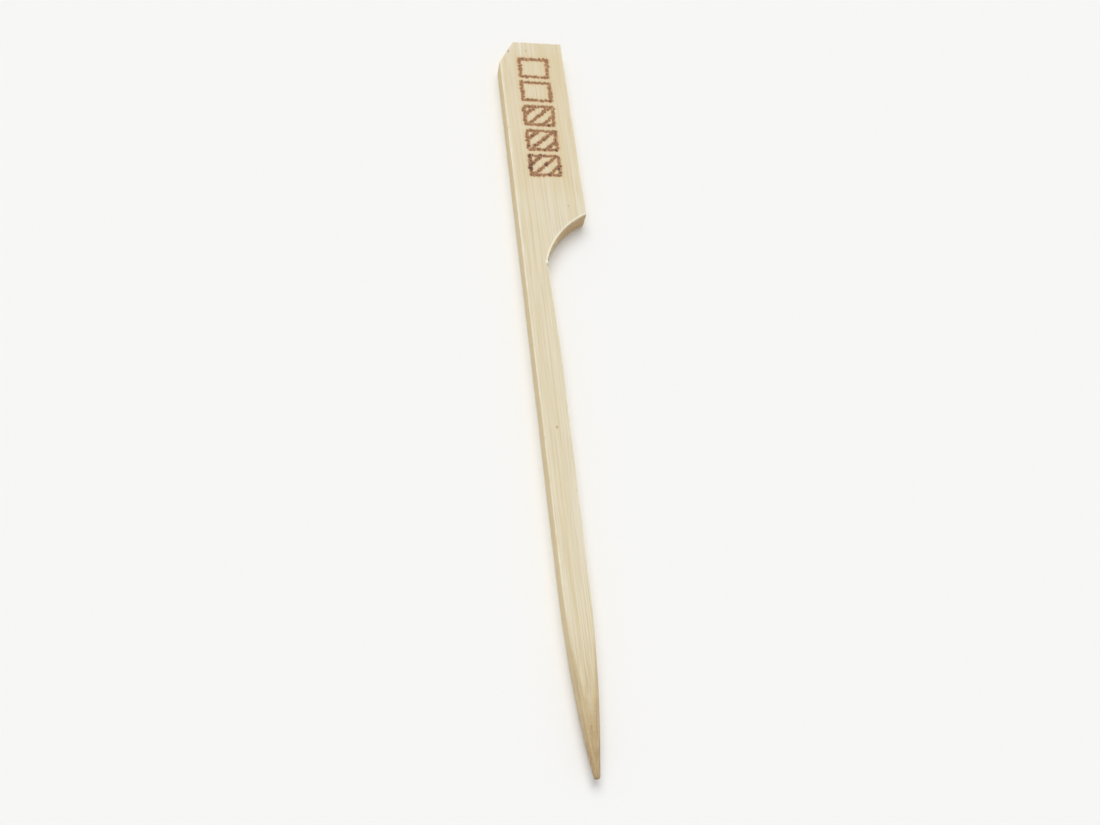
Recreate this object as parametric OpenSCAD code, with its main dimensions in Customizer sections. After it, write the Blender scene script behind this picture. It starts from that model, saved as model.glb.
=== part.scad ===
// Bamboo steak marker: one slat of bamboo, sawn to a broad head and a narrow stem, and ground to a point.
// It lies flat. X runs across the slat, Y along it towards the head, and Z through its thickness.
// The origin is the middle of the outline, on the lower face.

/* [Slat] */
// Overall length, from the nib to the end of the head
length = 120; // [100:1:160]
// Width of the slat, which is the width of the head
slat_w = 10.5; // [8:0.1:14]
// Thickness of the slat
slat_thk = 3; // [2.2:0.1:4]

/* [Head] */
// Length of the head, from its end to the shoulder
head_len = 35.5; // [20:0.5:48]
// How far the clipped corner reaches across the head
clip_w = 2.5; // [1:0.1:4]
// How far the clipped corner reaches along the head
clip_len = 4.5; // [1.5:0.1:9]

/* [Notch] */
// Length of the notch, from the shoulder down to the neck
notch_len = 9; // [7.5:0.1:12]
// Radius of the cutter that sweeps the notch
notch_r = 14; // [9.5:0.5:40]
// Width left at the neck, above the fullest part of the stem
neck_w = 3.65; // [3:0.05:4.8]

/* [Stem] */
// Width of the stem where it is fullest, below the neck
swell_w = 3.95; // [3.7:0.05:5]
// Distance from the neck down to the fullest place
swell_len = 14; // [5:0.5:20]
// Width of the stem where the point begins
stem_end_w = 3.7; // [2.8:0.05:4.2]

/* [Point] */
// Length of the taper that brings both edges in to the nib
taper_len = 25; // [16:0.5:28]
// Width of the blunt nib
nib_w = 0.85; // [0.4:0.05:1.6]
// Length over which the arrises are ground round
grind_len = 28; // [18:0.5:32]
// Radius that the grinding leaves at the nib
grind_end_r = 0.5; // [0.3:0.05:0.9]
// Width of the small bevel round the end of the nib
nib_bevel = 0.2; // [0.05:0.01:0.25]

/* [Edges] */
// Width of the easing that tumbling leaves along the grain, on the slat's long arrises
ease = 0.2; // [0.05:0.01:0.4]
// Width of the easing on the cuts across the grain: the head's end, its clipped corner and the notch
cut_ease = 0.13; // [0.04:0.01:0.3]

/* [Hidden] */

// Facets of a full circle, fine enough that the long arcs read as smooth
$fn = 360;
// Overrun of a cutter past the face that it cuts
over = 1;

// Stations along the length
y_end = length / 2;
y_shoulder = y_end - head_len;
y_neck = y_shoulder - notch_len;
y_swell = y_neck - swell_len;
y_nib = -length / 2;
y_taper = y_nib + taper_len;
y_grind = y_nib + grind_len;

// Places across the width, measured from the straight back edge
x_back = -slat_w / 2;
x_head = x_back + slat_w;
x_neck = x_back + neck_w;
x_swell = x_back + swell_w;
x_stem_end = x_back + stem_end_w;
x_point = x_back + stem_end_w / 2;

// Corners of the outline
p_shoulder = [x_head, y_shoulder];
p_neck = [x_neck, y_neck];
p_swell = [x_swell, y_swell];
p_taper = [x_stem_end, y_taper];
p_back_taper = [x_back, y_taper];
p_back_clip = [x_back, y_end - clip_len];
p_end_clip = [x_back + clip_w, y_end];
p_end = [x_head, y_end];

// Centre of the notch cutter, which sweeps through the shoulder and the neck
notch_chord = norm(p_shoulder - p_neck);
notch_rise = sqrt(notch_r * notch_r - notch_chord * notch_chord / 4);
notch_across = [notch_len, p_neck.x - p_shoulder.x] / notch_chord;
notch_c = (p_shoulder + p_neck) / 2 + notch_rise * notch_across;

// Directions from that centre to the two ends of the sweep
shoulder_a = atan2(p_shoulder.y - notch_c.y, p_shoulder.x - notch_c.x);
neck_a = atan2(p_neck.y - notch_c.y, p_neck.x - notch_c.x);
// Extra turn at each end, so that the easing runs out past the shoulder and the neck
sweep_over = 10;

// Edge of the stem at a station, carried on straight above and below
function edge_at(p, q, y) = [p.x + (q.x - p.x) * (y - p.y) / (q.y - p.y), y];
p_neck_over = edge_at(p_swell, p_neck, y_neck + over);
p_grind = edge_at(p_taper, p_swell, y_grind);

// Radius of an arc that starts level and falls by drop over a run
function arc_radius(run, drop) = (run * run + drop * drop) / (2 * drop);

// Arcs that bring the stem's edges in to the nib
taper_r = arc_radius(taper_len, (stem_end_w - nib_w) / 2);
// The grinding starts at the stem's farthest arris, and falls along an arc to the nib
grind_start_r = norm([p_grind.x - x_point, slat_thk / 2]);
grind_r = arc_radius(grind_len, grind_start_r - grind_end_r);

// Outline of the head: a straight slat with a clipped corner, less the sweep of the notch cutter
module head_outline() {
    difference() {
        polygon([[x_back, y_neck - over], [x_head, y_neck - over], p_end, p_end_clip, p_back_clip]);
        translate(notch_c)
            circle(r = notch_r);
    }
}

// Outline of the stem, which swells a little below the neck
module stem_outline() {
    polygon([p_back_taper, p_taper, p_swell, p_neck_over, [x_back, y_neck + over]]);
}

// Outline of the point, between an arc from each edge of the stem
module point_outline() {
    intersection() {
        translate([x_back + taper_r, y_taper])
            circle(r = taper_r);
        translate([x_stem_end - taper_r, y_taper])
            circle(r = taper_r);
        translate([x_back, y_nib])
            square([stem_end_w, taper_len + over]);
    }
}

// What an upper face has, repeated on the lower face
module both_faces() {
    children();
    translate([0, 0, slat_thk])
        mirror([0, 0, 1])
            children();
}

// Section of an easing of that width at the upper face, with the material towards +X
module ease_section(width) {
    polygon([
        [-over, slat_thk - width - over],
        [width + over, slat_thk + over],
        [-over, slat_thk + over]
    ]);
}

// Easing of that width along the straight edge through a corner, with the material on its left
// It runs on far past both ends, which takes nothing more, because the outline is convex there
module ease_line(corner, run, width) {
    translate(corner)
        rotate(atan2(run.y, run.x))
            translate([-length, 0, 0])
                rotate([90, 0, 90])
                    linear_extrude(2 * length)
                        ease_section(width);
}

// Easing along the notch, run past the shoulder and the neck
module ease_notch() {
    translate(notch_c)
        rotate(shoulder_a - sweep_over)
            rotate_extrude(angle = neck_a - shoulder_a + 2 * sweep_over)
                translate([notch_r, 0])
                    ease_section(cut_ease);
}

// Head, with its arrises eased
module head() {
    difference() {
        linear_extrude(slat_thk)
            head_outline();
        both_faces() {
            ease_notch();
            ease_line(p_end, p_end - p_shoulder, ease);
            ease_line(p_end_clip, p_end_clip - p_end, cut_ease);
            ease_line(p_end_clip, p_back_clip - p_end_clip, cut_ease);
            ease_line(p_back_clip, p_back_taper - p_back_clip, ease);
        }
    }
}

// Stem and point, with their arrises eased, still square where the point is to be ground
module stem() {
    difference() {
        linear_extrude(slat_thk)
            union() {
                stem_outline();
                point_outline();
            }
        both_faces() {
            ease_line(p_swell, p_swell - p_taper, ease);
            ease_line(p_swell, p_neck - p_swell, ease);
            ease_line(p_back_taper, p_back_taper - p_back_clip, ease);
        }
    }
}

// Half of the ground point in section, from its axis out
module ground_section() {
    reach = grind_start_r + grind_len;
    intersection() {
        translate([grind_start_r - grind_r, grind_len])
            circle(r = grind_r);
        polygon([
            [0, 0],
            [grind_end_r - nib_bevel, 0],
            [grind_end_r - nib_bevel + reach, reach],
            [0, reach]
        ]);
        square([grind_start_r, grind_len + over]);
    }
}

// Everything that the grinding leaves: the round point, and all of the slat behind it
module ground_keep() {
    translate([x_point, y_nib, slat_thk / 2])
        rotate([-90, 0, 0])
            rotate_extrude()
                ground_section();
    translate([x_back - over, y_grind, -over])
        cube([slat_w + 2 * over, length, slat_thk + 2 * over]);
}

module marker() {
    color("wheat")
        intersection() {
            union() {
                head();
                stem();
            }
            ground_keep();
        }
}

marker();
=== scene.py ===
"""Dresses the bamboo steak marker: the sawn slat with its burnt gauge and frayed cut, the floor, light and camera."""

import logging
import math
from dataclasses import dataclass, field
from enum import Enum
from typing import Any, Iterable, Self, Sequence

import bmesh
import bpy
import numpy as np
from mathutils import Matrix, Vector


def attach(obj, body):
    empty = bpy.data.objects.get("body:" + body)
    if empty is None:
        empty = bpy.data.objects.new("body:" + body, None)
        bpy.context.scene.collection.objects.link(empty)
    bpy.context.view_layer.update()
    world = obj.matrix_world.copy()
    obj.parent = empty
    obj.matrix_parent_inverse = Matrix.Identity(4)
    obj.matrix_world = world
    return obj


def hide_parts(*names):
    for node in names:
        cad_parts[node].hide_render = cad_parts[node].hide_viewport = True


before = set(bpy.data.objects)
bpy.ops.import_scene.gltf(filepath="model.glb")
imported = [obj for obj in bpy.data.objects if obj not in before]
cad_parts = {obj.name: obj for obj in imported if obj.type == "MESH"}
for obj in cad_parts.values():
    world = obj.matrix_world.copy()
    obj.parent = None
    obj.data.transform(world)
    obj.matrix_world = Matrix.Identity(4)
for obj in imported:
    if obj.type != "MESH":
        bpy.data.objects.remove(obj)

LOG = logging.getLogger("marker")
MM = 0.001
TO_MM = 1000.0
FAR = 1e3
Array = np.ndarray
Object = bpy.types.Object
Material = bpy.types.Material
Tree = bpy.types.NodeTree
Node = bpy.types.Node
Socket = bpy.types.NodeSocket
Sockets = dict[str, Socket]
Stroke = tuple[Array, bool]
Triple = tuple[float, float, float]


@dataclass(frozen=True)
class Tint:
    """A colour as it is seen on a screen, from 0 to 255."""

    red: float
    green: float
    blue: float

    def linear(self) -> tuple[float, float, float, float]:
        """The colour in linear light, with full alpha."""
        parts = [value / 255 for value in (self.red, self.green, self.blue)]
        return (*[p / 12.92 if p <= 0.04045 else ((p + 0.055) / 1.055) ** 2.4 for p in parts], 1.0)


def placed(name: str, data: Any) -> Object:
    """Makes an object from its data and links it into the scene, at the origin.

    Args:
        name: the object's name.
        data: its mesh, curve, light or camera.

    Returns:
        The object.
    """
    made = bpy.data.objects.new(name, data)
    bpy.context.scene.collection.objects.link(made)
    return made


class LatticeNoise:
    """Smooth noise on a seeded lattice, for relief that is cut into a mesh."""

    CELLS = 4096

    def __init__(self, seed: int) -> None:
        """Draws the lattice.

        Args:
            seed: fixes the lattice, so that each run gives the same relief.
        """
        rng = np.random.default_rng(seed)
        self.values = rng.uniform(-1.0, 1.0, self.CELLS)
        self.order = rng.permutation(self.CELLS)

    def _corner(self, x: Array, y: Array, z: Array) -> Array:
        """The lattice's value at whole-numbered places."""
        last = self.CELLS - 1
        return self.values[self.order[(self.order[(self.order[x & last] + y) & last] + z) & last]]

    def at(self, x: Array, y: Array, z: Array) -> Array:
        """Reads the noise.

        Args:
            x: first coordinates, in lattice steps.
            y: second coordinates, in lattice steps.
            z: third coordinates, in lattice steps.

        Returns:
            The noise at each place, from -1 to 1.
        """
        places = np.broadcast_arrays(np.asarray(x, float), y, z)
        whole = [np.floor(a).astype(np.int64) for a in places]
        part = [a - w for a, w in zip(places, whole)]
        ease = [p * p * (3 - 2 * p) for p in part]
        total = np.zeros(places[0].shape)
        for corner in np.ndindex(2, 2, 2):
            weight = math.prod(e if far else 1 - e for e, far in zip(ease, corner))
            total += weight * self._corner(*(w + far for w, far in zip(whole, corner)))
        return total

    def relief(self, depth: float, x: Array, y: Array, z: Array) -> Array:
        """Relief from 0 to twice a depth, at places in lattice steps."""
        return depth * (1 + self.at(x, y, z))


@dataclass(frozen=True)
class SlatPlan:
    """The marker's outline and section in millimetres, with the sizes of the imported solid."""

    length: float = 120.0
    slat_w: float = 10.5
    slat_thk: float = 3.0
    head_len: float = 35.5
    clip_w: float = 2.5
    clip_len: float = 4.5
    notch_len: float = 9.0
    notch_r: float = 14.0
    neck_w: float = 3.65
    swell_w: float = 3.95
    swell_len: float = 14.0
    stem_end_w: float = 3.7
    taper_len: float = 25.0
    nib_w: float = 0.85
    grind_len: float = 28.0
    grind_end_r: float = 0.5
    ease: float = 0.2
    cut_ease: float = 0.13
    tip_round: float = 0.42
    tip_flat_r: float = 0.2

    @property
    def y_end(self) -> float:
        """The end of the head."""
        return self.length / 2

    @property
    def y_nib(self) -> float:
        """The end of the nib."""
        return -self.length / 2

    @property
    def y_shoulder(self) -> float:
        """The shoulder, where the notch begins."""
        return self.y_end - self.head_len

    @property
    def y_neck(self) -> float:
        """The neck, where the notch ends."""
        return self.y_shoulder - self.notch_len

    @property
    def y_swell(self) -> float:
        """Where the stem is fullest."""
        return self.y_neck - self.swell_len

    @property
    def y_taper(self) -> float:
        """Where the point begins."""
        return self.y_nib + self.taper_len

    @property
    def x_back(self) -> float:
        """The straight back edge."""
        return -self.slat_w / 2

    @property
    def x_point(self) -> float:
        """The axis of the point, across the slat."""
        return self.x_back + self.stem_end_w / 2

    @property
    def notch_centre(self) -> tuple[float, float]:
        """The centre of the cutter that sweeps the notch.

        Returns:
            Its places across and along the slat.
        """
        x_neck, x_head = self.x_back + self.neck_w, self.x_back + self.slat_w
        chord = math.hypot(self.notch_len, x_head - x_neck)
        rise = math.sqrt(self.notch_r**2 - chord**2 / 4)
        return (
            (x_head + x_neck) / 2 + rise * self.notch_len / chord,
            (self.y_shoulder + self.y_neck) / 2 - rise * (x_head - x_neck) / chord,
        )

    @staticmethod
    def _arc_radius(run: float, drop: float) -> float:
        """The radius of an arc that starts level and falls by drop over a run."""
        return (run * run + drop * drop) / (2 * drop)

    def _taper_drop(self, y: Array) -> Array:
        """How far the point's arcs bring each edge in at a station."""
        radius = self._arc_radius(self.taper_len, (self.stem_end_w - self.nib_w) / 2)
        return radius - np.sqrt(radius**2 - np.clip(self.y_taper - y, 0.0, self.taper_len) ** 2)

    def right(self, y: Array, long_inset: Array, cut_inset: Array) -> Array:
        """The notched edge.

        Args:
            y: stations along the slat.
            long_inset: how far in from an arris along the grain.
            cut_inset: how far in from an arris across the grain.

        Returns:
            The edge's place across the slat at each station.
        """
        widths = [self.stem_end_w, self.swell_w, self.neck_w]
        stem = self.x_back + np.interp(y, [self.y_taper, self.y_swell, self.y_neck], widths)
        above = np.clip(y - self.y_neck, 0.0, None)
        stem = stem - above * (self.swell_w - self.neck_w) / self.swell_len
        stem = stem - self._taper_drop(y) - long_inset
        centre_x, centre_y = self.notch_centre
        inside = (self.notch_r + cut_inset) ** 2 - (y - centre_y) ** 2
        arc = np.where(inside > 0, centre_x - np.sqrt(np.maximum(inside, 0.0)), FAR)
        arc = np.where(y >= centre_y, arc, -FAR)
        return np.minimum(self.x_back + self.slat_w - long_inset, np.maximum(stem, arc))

    def left(self, y: Array, long_inset: Array, cut_inset: Array) -> Array:
        """The straight edge with its clipped corner.

        Args:
            y: stations along the slat.
            long_inset: how far in from an arris along the grain.
            cut_inset: how far in from an arris across the grain.

        Returns:
            The edge's place across the slat at each station.
        """
        slope = self.clip_w / self.clip_len
        start = self.y_end - self.clip_len
        clip = self.x_back + (y - start) * slope + cut_inset * math.hypot(1.0, slope)
        return np.maximum(self.x_back + self._taper_drop(y) + long_inset, clip)

    def ground(self, y: Array) -> Array:
        """The radius that the grinding leaves round the point's axis.

        Args:
            y: stations along the slat.

        Returns:
            The radius at each station, or a far one behind the grinding.
        """
        x_grind = self.stem_end_w + (self.swell_w - self.stem_end_w) * (
            (self.grind_len - self.taper_len) / (self.y_swell - self.y_taper)
        )
        start_r = math.hypot(x_grind - self.stem_end_w / 2, self.slat_thk / 2)
        radius = self._arc_radius(self.grind_len, start_r - self.grind_end_r)
        behind = np.clip(self.y_nib + self.grind_len - y, 0.0, self.grind_len)
        arc = start_r - radius + np.sqrt(radius**2 - behind**2)
        near = np.clip((y - self.y_nib) / self.tip_round, 0.0, 1.0)
        arc = self.tip_flat_r + (arc - self.tip_flat_r) * np.sqrt(1 - (1 - near) ** 2)
        return np.where(y > self.y_nib + self.grind_len, FAR, arc)


@dataclass(frozen=True)
class Spacing:
    """How closely the slat's mesh follows each stretch, in millimetres."""

    nib: tuple[float, ...] = (0.0, 0.012, 0.04, 0.09, 0.16, 0.25, 0.36, 0.5)
    point: float = 0.25
    stem: float = 0.42
    notch: float = 0.1
    head: float = 0.32
    gauge: float = 0.108
    end: float = 0.16
    closest: float = 0.004
    below_neck: float = 1.2
    above_shoulder: float = 0.5
    gauge_low: float = 31.0
    gauge_high: float = 57.2
    gauge_half_w: float = 2.95
    gauge_columns: int = 66
    flank_columns: int = 7
    lower_columns: int = 20
    wall_rows: int = 7
    arris_steps: int = 4


@dataclass(frozen=True)
class Chip:
    """A small chip on an upper arris, in millimetres, or a splinter where its depth is negative."""

    x: float
    y: float
    reach: float
    depth: float
    through: float = 0.45


@dataclass
class Slat:
    """The sawn and ground bamboo slat, as one closed mesh that carries what its finish needs."""

    plan: SlatPlan = field(default_factory=SlatPlan)
    spacing: Spacing = field(default_factory=Spacing)
    seed: int = 11
    ground_blend: float = 0.14
    ground_edge: float = 0.12
    ground_wear: float = 0.8
    # These three shape the pale band along the notch: partly wear, partly a painted highlight.
    rim: float = 1.7
    rim_w: float = 0.28
    rim_full: float = 1.35
    chip_w: float = 0.35
    chip_bluntness: float = 0.7
    chips: tuple[Chip, ...] = (
        Chip(-5.25, 41.2, 0.3, 0.12),
        Chip(-5.25, 9.6, 0.45, 0.08),
        Chip(-5.25, -14.3, 0.35, 0.1),
        Chip(-5.2, -27.0, 0.6, 0.08),
        Chip(5.25, 47.5, 0.25, 0.1),
        Chip(5.25, 29.9, 0.4, 0.08),
        Chip(-1.5, 6.5, 0.4, 0.1),
        Chip(-1.4, -9.8, 0.55, 0.08),
        Chip(-1.6, -22.4, 0.35, 0.11),
        Chip(-1.5, 15.38, 0.3, -0.22, 1.0),
        Chip(-1.5, 14.8, 0.42, 0.17, 1.3),
        Chip(1.9, 60.0, 0.35, 0.09),
        Chip(-1.4, 60.0, 0.28, 0.07),
        Chip(0.3, 60.0, 0.2, 0.06),
        Chip(3.7, 60.0, 0.25, 0.08),
        Chip(-3.9, 57.9, 0.3, 0.08),
    )

    def _stations(self) -> Array:
        """Chooses where the section is laid out.

        Returns:
            The places along the slat, in rising order.
        """
        p, s = self.plan, self.spacing
        steps = (
            (p.y_taper, s.point),
            (p.y_neck - s.below_neck, s.stem),
            (p.y_shoulder + s.above_shoulder, s.notch),
            (s.gauge_low, s.head),
            (s.gauge_high, s.gauge),
            (p.y_end - p.cut_ease, s.end),
        )
        found = [p.y_nib + a for a in s.nib]
        low = found[-1]
        for high, step in steps:
            count = max(2, round((high - low) / step))
            found.extend(np.linspace(low, high, count + 1)[1:])
            low = high
        for chip in self.chips:
            if chip.y < s.gauge_low:
                found.extend(np.linspace(chip.y - chip.reach, chip.y + chip.reach, 5))
        angles = np.linspace(0.0, math.pi / 2, s.arris_steps + 1)[1:]
        found.extend(p.y_end - p.cut_ease * (1 - np.sin(angles)))
        found.extend([p.y_neck, p.y_shoulder, p.y_swell, p.y_end - p.clip_len])
        found = np.unique(np.round(found, 6))
        return found[np.concatenate([[True], np.diff(found) > s.closest])]

    def _columns(self) -> Array:
        """Chooses where the upper face has its columns of points, closest where the gauge is burnt.

        Returns:
            Their shares of the way across the face.
        """
        p, s = self.plan, self.spacing
        edge = p.slat_w / 2 - p.ease
        flank = np.linspace(-edge, -s.gauge_half_w, s.flank_columns + 1)
        middle = np.linspace(-s.gauge_half_w, s.gauge_half_w, s.gauge_columns + 1)
        return (np.concatenate([flank[:-1], middle, -flank[::-1][1:]]) + edge) / (2 * edge)

    def _section(self, y: Array) -> tuple[Array, Array, Array]:
        """Lays out one ring of points at each station.

        Args:
            y: the stations.

        Returns:
            Places across and through the slat, one row for each station, and a mask that rises with how far round an
            arris each point is, for the pale arris tint: partly wear and partly a painted highlight.
        """
        p, s = self.plan, self.spacing
        noise = LatticeNoise(self.seed)
        early, over = 0.1, 0.4
        cut = np.clip((y - p.y_neck + early) / over, 0, 1) * np.clip((p.y_shoulder + early - y) / over, 0, 1)
        ends = np.clip((y - (p.y_end - p.clip_len)) / 0.3, 0, 1)
        wander = [
            1 + 0.2 * noise.at(y / 3.3, 9.0 * key, 0.5) + 0.16 * noise.at(y / 0.6, 4.0 * key, 3.5) for key in range(4)
        ]
        rounding = np.clip((y - (p.y_end - p.cut_ease)) / p.cut_ease, 0, 1)
        end_drop = p.cut_ease * (1 - np.sqrt(1 - rounding**2))
        ring: list[Array] = []

        def corner(is_right: bool, is_upper: bool, turn: float) -> None:
            """Adds one point of an arris.

            Args:
                is_right: whether the arris is on the notched edge.
                is_upper: whether it is on the upper face.
                turn: how far round it, from 0 on the face to a quarter turn on the wall.
            """
            loose = wander[2 * int(is_right) + int(is_upper)]
            long_e, cut_e = p.ease * loose, p.cut_ease * loose
            share, depth = 1 - math.sin(turn), 1 - math.cos(turn)
            local = long_e + (cut_e - long_e) * (cut if is_right else ends)
            x = (p.right if is_right else p.left)(y, long_e * share, cut_e * share)
            z = local * depth + end_drop
            # The pale arris mask, strongest half way round the arris: partly wear and partly a painted highlight.
            rub_and_highlight = np.full_like(y, 0.4 + 0.6 * math.sin(2 * turn))
            x = x - 0.5 * end_drop * (1 if is_right else -1)
            ring.append(np.stack([x, p.slat_thk - z if is_upper else z, rub_and_highlight]))

        turns = np.linspace(0.0, math.pi / 2, s.arris_steps + 1)
        wall = np.linspace(0, 1, s.wall_rows + 1)[1:-1]
        lower = np.linspace(0, 1, s.lower_columns + 1)[1:-1]
        corner(False, True, 0.0)
        for is_right, is_upper, run, shares in (
            (True, True, turns, self._columns()[1:-1]),
            (True, False, turns[::-1], wall),
            (False, False, turns, lower),
            (False, True, turns[::-1][:-1], wall),
        ):
            corner(is_right, is_upper, run[0])
            first, last = ring[-2], ring.pop()
            for share in shares:
                ring.append((first + (last - first) * share) * [[1], [1], [0]])
            ring.append(last)
            for turn in run[1:]:
                corner(is_right, is_upper, turn)
        across, through, rub_and_highlight = np.stack(ring, 2)
        # The end's rim takes the same pale mask: partly wear, partly a painted highlight.
        rim = np.where(y > p.y_end - p.cut_ease - 1e-6, 0.4 + 1.2 * rounding * np.sqrt(1 - rounding**2), 0.0)
        rub_and_highlight = np.maximum(np.maximum(rub_and_highlight, rim[:, None]), self._notch_rim(y, across, through))
        rub_and_highlight[[0, -1]] = 0.0
        return across, through, rub_and_highlight

    def _notch_rim(self, y: Array, x: Array, z: Array) -> Array:
        """How strongly each point of the two faces takes the pale arris tint close along the notch: partly wear from
        the cutter and partly a painted highlight along the notch's arrises.

        Args:
            y: the stations.
            x: places across the slat, one row for each station.
            z: places through it.

        Returns:
            The strength at each point, which is 0 away from the notch.
        """
        p = self.plan
        centre_x, centre_y = p.notch_centre
        off = np.hypot(x - centre_x, y[:, None] - centre_y) - p.notch_r
        beside = ((y > p.y_neck - 0.4) & (y < p.y_shoulder + 0.2))[:, None]
        on_face = np.abs(z - p.slat_thk / 2) > p.slat_thk / 2 - 1e-6
        return np.where(beside & on_face, self.rim * np.clip(self.rim_full - off / self.rim_w, 0.0, 1.0), 0.0)

    @staticmethod
    def _normals(points: Array) -> Array:
        """Outward normals of the grid of rings, from the differences along it and round it."""
        normal = np.cross(np.roll(points, -1, axis=1) - np.roll(points, 1, axis=1), np.gradient(points, axis=0))
        return normal / np.maximum(np.linalg.norm(normal, axis=2, keepdims=True), 1e-12)

    def _relief(self, points: Array, normal: Array, arris: Array, ground: Array) -> Array:
        """How far each point is sunk by the fibres, the saw, the cutter, the grinding and small chips.

        Args:
            points: the grid's places in millimetres.
            normal: its outward normals.
            arris: how far round an arris each point is.
            ground: 1 where the point was ground.

        Returns:
            The depth at each point, in millimetres, which is below 0 only where a splinter stands out.
        """
        noise = LatticeNoise(self.seed + 1)
        relief = noise.relief
        x, y, z = points[..., 0], points[..., 1], points[..., 2]
        across = np.abs(normal[..., 1])
        fibre = relief(0.007, x / 0.42, y / 22, z / 0.42) + relief(0.005, x / 0.19, y / 7, z / 0.19 + 40)
        planing = relief(0.008, x / 3.1, y / 26, z / 3.1 + 80)
        sawn = relief(0.028, y / 4.7, 0.2 * z, np.sign(x - self.plan.x_point) * 3 + 320.5) * np.abs(normal[..., 0])
        chatter = relief(0.016, y / 0.35, 0.3 * z, 120.5) + relief(0.018, x / 0.24, y / 0.24, z / 0.5)
        torn = 0.028 * np.maximum(0, noise.at(x / 0.5, y / 0.5, z / 0.9 + 160)) * across
        depth = (fibre + planing + sawn) * (1 - 0.6 * across) + (chatter + torn) * across
        bruise = relief(0.012, y / 0.8, np.sign(x) * 5, np.sign(z - 1.5) * 5 + 200) * np.minimum(arris, 1.0)
        marks = relief(0.008, y / 0.16, x / 1.4, z / 1.4 + 240) + relief(0.02, y / 3.4, x / 0.9, z / 0.9 + 280)
        depth = depth * (1 - 0.5 * ground) + bruise + marks * ground
        for chip in self.chips:
            away = np.hypot((y - chip.y) / chip.reach, (x - chip.x) / self.chip_w)
            away = np.hypot(away, (z - self.plan.slat_thk) / chip.through)
            depth += chip.depth * np.clip(1 - away, 0, 1) ** self.chip_bluntness
        return depth

    def build(self) -> Object:
        """Makes the slat's mesh.

        Returns:
            The object, with float attributes arris, across, side and ground on its points.
        """
        p = self.plan
        y = self._stations()
        x, z, arris = self._section(y)
        radius = p.ground(y)[:, None]
        off_x, off_z = x - p.x_point, z - p.slat_thk / 2
        distance = np.maximum(np.hypot(off_x, off_z), 1e-9)
        share = np.clip(0.5 + 0.5 * (radius - distance) / self.ground_blend, 0, 1)
        eased = radius + (distance - radius) * share - self.ground_blend * share * (1 - share)
        pull = np.where(radius > FAR / 10, 1.0, eased / distance)
        ground = np.clip((distance - eased) / self.ground_edge, 0, 1)
        y_grid = np.repeat(y[:, None], x.shape[1], axis=1)
        points = np.stack([p.x_point + off_x * pull, y_grid, p.slat_thk / 2 + off_z * pull], axis=2)
        normal = self._normals(points)
        arris = arris * (1 - self.ground_wear * ground)
        inward = normal.copy()
        inward[0], inward[-1] = (0, -1, 0), (0, 1, 0)
        points = points - inward * self._relief(points, normal, arris, ground)[..., None]
        points[..., 2] = np.clip(points[..., 2], 0.0, p.slat_thk)
        across = np.abs(normal[..., 1])
        across[[0, -1]] = 1.0
        stations, ring = x.shape
        i, j = np.meshgrid(np.arange(stations - 1), np.arange(ring), indexing="ij")
        k = (j + 1) % ring
        quads = np.stack([i * ring + j, i * ring + k, (i + 1) * ring + k, (i + 1) * ring + j], axis=2)
        ends = [list(range(ring))[::-1], list(range((stations - 1) * ring, stations * ring))]
        mesh = bpy.data.meshes.new("slat")
        mesh.from_pydata((points.reshape(-1, 3) * MM).tolist(), [], quads.reshape(-1, 4).tolist() + ends)
        carried = {"arris": arris, "across": across, "side": np.abs(normal[..., 0]), "ground": ground}
        for name, values in carried.items():
            layer = mesh.attributes.new(name, "FLOAT", "POINT")
            layer.data.foreach_set("value", values.astype(np.float32).ravel())
        slat = placed("slat", mesh)
        self._finish_mesh(slat)
        return slat

    @staticmethod
    def _finish_mesh(slat: Object) -> None:
        """Turns the faces outwards, splits the two end faces into triangles and keeps their rims crisp.

        Args:
            slat: the slat's object.
        """
        bm = bmesh.new()
        bm.from_mesh(slat.data)
        bmesh.ops.recalc_face_normals(bm, faces=bm.faces)
        for face in bm.faces:
            face.smooth = True
        ends = [f for f in bm.faces if len(f.verts) > 4]
        for edge in (e for f in ends for e in f.edges):
            edge.smooth = False
        bmesh.ops.triangulate(bm, faces=ends, quad_method="BEAUTY", ngon_method="BEAUTY")
        bm.to_mesh(slat.data)
        bm.free()


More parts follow.
